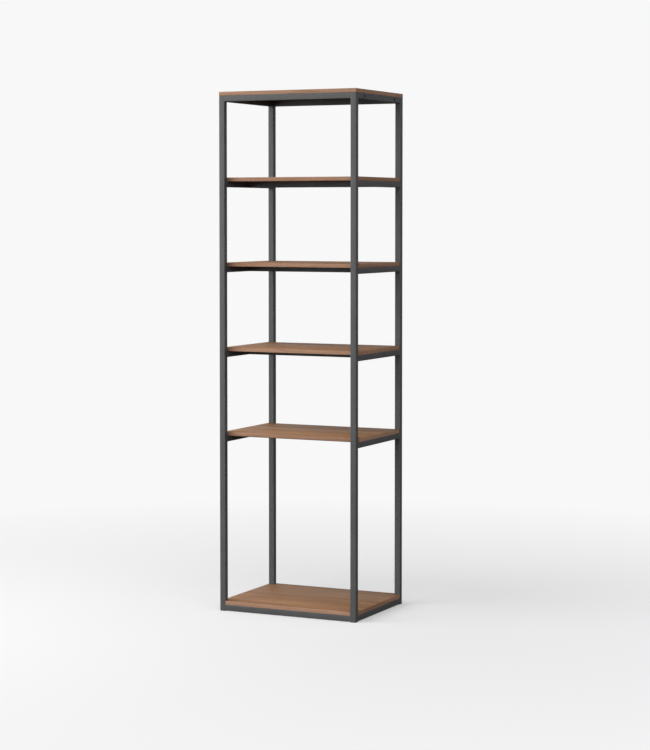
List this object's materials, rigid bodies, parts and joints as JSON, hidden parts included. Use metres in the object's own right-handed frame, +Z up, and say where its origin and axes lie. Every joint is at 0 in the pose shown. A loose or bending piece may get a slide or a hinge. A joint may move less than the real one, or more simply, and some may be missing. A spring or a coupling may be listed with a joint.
{
  "type": "bookcase with adjustable shelves",
  "caption": "Tall open bookcase: square steel tube frame, fixed top and bottom boards, and wood-effect shelves that hang on studs and lift off to change level.",
  "frame": {"origin": "middle of the footprint, on the floor plane under the foot glides", "axes": "+Z up, +Y to the rear, -Y the front, +X to the right seen from the front"},
  "size_m": [0.635, 0.48, 2.2],
  "materials": {
    "powder_coated_steel": "fine-textured matt charcoal powder coat",
    "walnut_board": "satin brown walnut-effect board with matching edge band",
    "black_steel": "satin black-phosphated steel hardware",
    "black_plastic": "matt black moulded plastic",
    "charcoal_plastic": "matt charcoal moulded plastic, matched to the frame"
  },
  "bodies": {
    "frame": {"post_front_left": "powder_coated_steel", "post_front_right": "powder_coated_steel", "post_rear_left": "powder_coated_steel", "post_rear_right": "powder_coated_steel", "top_rail_front": "powder_coated_steel", "top_rail_rear": "powder_coated_steel", "top_rail_left": "powder_coated_steel", "top_rail_right": "powder_coated_steel", "bottom_rail_front": "powder_coated_steel", "bottom_rail_rear": "powder_coated_steel", "bottom_rail_left": "powder_coated_steel", "bottom_rail_right": "powder_coated_steel", "top_board": "walnut_board", "bottom_board": "walnut_board", "foot_glide_front_left": "black_plastic", "foot_glide_front_right": "black_plastic", "foot_glide_rear_left": "black_plastic", "foot_glide_rear_right": "black_plastic", "hole_cap_front_left": "charcoal_plastic", "hole_cap_front_right": "charcoal_plastic", "hole_cap_rear_left": "charcoal_plastic", "hole_cap_rear_right": "charcoal_plastic", "link_hole_plug_front_left": "black_plastic", "link_hole_plug_front_right": "black_plastic", "link_hole_plug_rear_left": "black_plastic", "link_hole_plug_rear_right": "black_plastic", "stud_1_front_left": "black_steel", "stud_1_front_right": "black_steel", "stud_1_rear_left": "black_steel", "stud_1_rear_right": "black_steel", "stud_2_front_left": "black_steel", "stud_2_front_right": "black_steel", "stud_2_rear_left": "black_steel", "stud_2_rear_right": "black_steel", "stud_3_front_left": "black_steel", "stud_3_front_right": "black_steel", "stud_3_rear_left": "black_steel", "stud_3_rear_right": "black_steel", "stud_4_front_left": "black_steel", "stud_4_front_right": "black_steel", "stud_4_rear_left": "black_steel", "stud_4_rear_right": "black_steel"},
    "shelf_1": {"shelf_1_board": "walnut_board", "shelf_1_rail_left": "powder_coated_steel", "shelf_1_rail_right": "powder_coated_steel", "shelf_1_crossbar": "powder_coated_steel"},
    "shelf_2": {"shelf_2_board": "walnut_board", "shelf_2_rail_left": "powder_coated_steel", "shelf_2_rail_right": "powder_coated_steel", "shelf_2_crossbar": "powder_coated_steel"},
    "shelf_3": {"shelf_3_board": "walnut_board", "shelf_3_rail_left": "powder_coated_steel", "shelf_3_rail_right": "powder_coated_steel", "shelf_3_crossbar": "powder_coated_steel"},
    "shelf_4": {"shelf_4_board": "walnut_board", "shelf_4_rail_left": "powder_coated_steel", "shelf_4_rail_right": "powder_coated_steel", "shelf_4_crossbar": "powder_coated_steel"}
  },
  "joints": [
    {"name": "shelf_1_lift", "type": "slide", "parent": "frame", "child": "shelf_1", "axis": [0, 0, 1], "range_m": [0, 0.31]},
    {"name": "shelf_2_lift", "type": "slide", "parent": "frame", "child": "shelf_2", "axis": [0, 0, 1], "range_m": [0, 0.31]},
    {"name": "shelf_3_lift", "type": "slide", "parent": "frame", "child": "shelf_3", "axis": [0, 0, 1], "range_m": [0, 0.31]},
    {"name": "shelf_4_lift", "type": "slide", "parent": "frame", "child": "shelf_4", "axis": [0, 0, 1], "range_m": [0, 0.31]}
  ]
}
